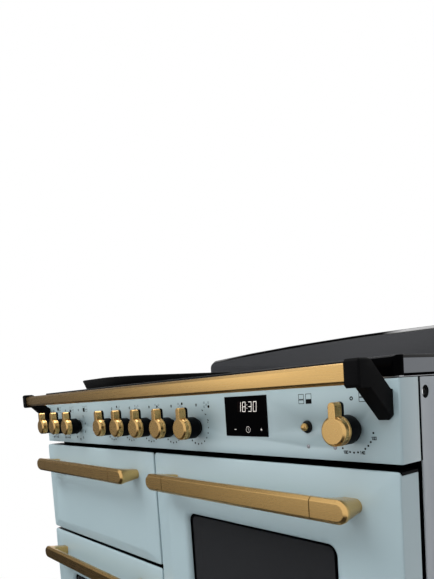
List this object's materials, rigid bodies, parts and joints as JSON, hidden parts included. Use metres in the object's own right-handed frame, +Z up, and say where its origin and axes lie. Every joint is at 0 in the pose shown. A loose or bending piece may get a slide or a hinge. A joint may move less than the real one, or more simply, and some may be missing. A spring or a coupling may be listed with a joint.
{
  "type": "range cooker",
  "caption": "Free-standing induction range cooker with drop-down oven and grill doors, a drawer, knobs, a front rail and an arched upstand.",
  "frame": {"origin": "centre of the overall box on the floor", "axes": "+X to the right seen from the front, +Y to the back, +Z up"},
  "size_m": [1.092, 0.706, 1.0125],
  "materials": {
    "zinc_steel": "galvanised sheet",
    "grey_steel": "satin grey",
    "black_enamel": "semi-gloss black",
    "black_plastic": "matt black",
    "brushed_steel": "brushed",
    "black_glass": "opaque black, gloss",
    "copper": "wound wire",
    "charcoal_enamel": "gloss charcoal",
    "blue_enamel": "gloss enamel, pale blue",
    "lens": "translucent",
    "satin_brass": "satin",
    "black_bracket": "satin black",
    "cavity_enamel": "dark enamel",
    "element_steel": "dull",
    "chrome_wire": "bright wire",
    "seal_rope": "woven rope",
    "dark_glass": "dark tinted",
    "cast_griddle": "matt coating"
  },
  "bodies": {
    "cooker": {"chassis_base": "zinc_steel", "side_panel_left": "grey_steel", "side_panel_right": "grey_steel", "back_panel": "zinc_steel", "front_frame": "black_enamel", "plinth": "black_enamel", "levelling_feet": "black_plastic", "hob_frame": "brushed_steel", "hob_front_trim": "black_glass", "hob_glass": "black_glass", "coil_tray": "zinc_steel", "induction_coils": "copper", "rear_upstand": "charcoal_enamel", "control_panel": "blue_enamel", "display_module": "black_glass", "indicator_lenses": "lens", "button_bezel": "black_plastic", "control_switches": "black_plastic", "rail_bar": "satin_brass", "rail_brackets": "black_bracket", "side_plugs": "black_plastic", "grill_cavity": "cavity_enamel", "oven_cavity_left": "cavity_enamel", "oven_cavity_right": "cavity_enamel", "heating_elements": "element_steel", "shelf_racks": "chrome_wire", "fan_covers": "cavity_enamel", "fan_motors": "zinc_steel", "door_seals": "seal_rope", "terminal_box": "zinc_steel"},
    "grill_door": {"grill_door_skin": "blue_enamel", "grill_door_liner": "zinc_steel", "grill_door_handle": "satin_brass"},
    "left_oven_door": {"left_door_skin": "blue_enamel", "left_door_liner": "zinc_steel", "left_door_panes": "dark_glass", "left_door_handle": "satin_brass"},
    "right_oven_door": {"right_door_skin": "blue_enamel", "right_door_liner": "zinc_steel", "right_door_panes": "dark_glass", "right_door_handle": "satin_brass"},
    "storage_drawer": {"drawer_front": "blue_enamel", "drawer_box": "zinc_steel", "drawer_handle": "satin_brass"},
    "lift_griddle": {"griddle": "cast_griddle"},
    "sliding_grill_pan": {"grill_pan": "cavity_enamel"},
    "left_shelf": {"shelf_left": "chrome_wire"},
    "right_shelf": {"shelf_right": "chrome_wire"},
    "left_fan": {"fan_left": "brushed_steel"},
    "right_fan": {"fan_right": "brushed_steel"},
    "button": {"push_button": "satin_brass"},
    "grill_knob": {"knob_1": "satin_brass"},
    "left_oven_knob": {"knob_2": "satin_brass"},
    "left_timer_knob": {"knob_3": "satin_brass"},
    "hob_knob_1": {"knob_4": "satin_brass"},
    "hob_knob_2": {"knob_5": "satin_brass"},
    "hob_knob_3": {"knob_6": "satin_brass"},
    "hob_knob_4": {"knob_7": "satin_brass"},
    "hob_knob_5": {"knob_8": "satin_brass"},
    "right_oven_knob": {"knob_9": "satin_brass"}
  },
  "joints": [
    {"name": "grill_door_hinge", "type": "hinge", "parent": "cooker", "child": "grill_door", "pos_m": [-0.2735, -0.275, 0.571], "axis": [1, 0, 0], "range_deg": [0, 90]},
    {"name": "left_oven_door_hinge", "type": "hinge", "parent": "cooker", "child": "left_oven_door", "pos_m": [-0.2735, -0.275, 0.158], "axis": [1, 0, 0], "range_deg": [0, 90]},
    {"name": "right_oven_door_hinge", "type": "hinge", "parent": "cooker", "child": "right_oven_door", "pos_m": [0.2735, -0.275, 0.396], "axis": [1, 0, 0], "range_deg": [0, 90]},
    {"name": "drawer_slide", "type": "slide", "parent": "cooker", "child": "storage_drawer", "axis": [0, -1, 0], "range_m": [0, 0.24]},
    {"name": "griddle_lift", "type": "slide", "parent": "cooker", "child": "lift_griddle", "axis": [0, 0, 1], "range_m": [0, 0.15]},
    {"name": "grill_pan_slide", "type": "slide", "parent": "cooker", "child": "sliding_grill_pan", "axis": [0, -1, 0], "range_m": [0, 0.02]},
    {"name": "left_shelf_slide", "type": "slide", "parent": "cooker", "child": "left_shelf", "axis": [0, -1, 0], "range_m": [0, 0.02]},
    {"name": "right_shelf_slide", "type": "slide", "parent": "cooker", "child": "right_shelf", "axis": [0, -1, 0], "range_m": [0, 0.02]},
    {"name": "left_fan_spin", "type": "hinge", "parent": "cooker", "child": "left_fan", "pos_m": [-0.2735, 0.165, 0.3385], "axis": [0, 1, 0], "continuous": true},
    {"name": "right_fan_spin", "type": "hinge", "parent": "cooker", "child": "right_fan", "pos_m": [0.2735, 0.165, 0.5765], "axis": [0, 1, 0], "continuous": true},
    {"name": "button_press", "type": "slide", "parent": "cooker", "child": "button", "axis": [0, 1, 0], "range_m": [0, 0.003], "stiffness_N_per_m": 400},
    {"name": "grill_knob_turn", "type": "hinge", "parent": "cooker", "child": "grill_knob", "pos_m": [-0.4938, -0.307, 0.831], "axis": [0, 1, 0], "range_deg": [0, 270]},
    {"name": "left_oven_knob_turn", "type": "hinge", "parent": "cooker", "child": "left_oven_knob", "pos_m": [-0.4165, -0.307, 0.831], "axis": [0, 1, 0], "range_deg": [0, 270]},
    {"name": "left_timer_knob_turn", "type": "hinge", "parent": "cooker", "child": "left_timer_knob", "pos_m": [-0.3392, -0.307, 0.831], "axis": [0, 1, 0], "range_deg": [0, 270]},
    {"name": "hob_knob_1_turn", "type": "hinge", "parent": "cooker", "child": "hob_knob_1", "pos_m": [-0.1662, -0.307, 0.831], "axis": [0, 1, 0], "range_deg": [0, 270]},
    {"name": "hob_knob_2_turn", "type": "hinge", "parent": "cooker", "child": "hob_knob_2", "pos_m": [-0.0882, -0.307, 0.831], "axis": [0, 1, 0], "range_deg": [0, 270]},
    {"name": "hob_knob_3_turn", "type": "hinge", "parent": "cooker", "child": "hob_knob_3", "pos_m": [-0.0102, -0.307, 0.831], "axis": [0, 1, 0], "range_deg": [0, 270]},
    {"name": "hob_knob_4_turn", "type": "hinge", "parent": "cooker", "child": "hob_knob_4", "pos_m": [0.0678, -0.307, 0.831], "axis": [0, 1, 0], "range_deg": [0, 270]},
    {"name": "hob_knob_5_turn", "type": "hinge", "parent": "cooker", "child": "hob_knob_5", "pos_m": [0.1458, -0.307, 0.831], "axis": [0, 1, 0], "range_deg": [0, 270]},
    {"name": "right_oven_knob_turn", "type": "hinge", "parent": "cooker", "child": "right_oven_knob", "pos_m": [0.4765, -0.307, 0.831], "axis": [0, 1, 0], "range_deg": [0, 270]}
  ]
}
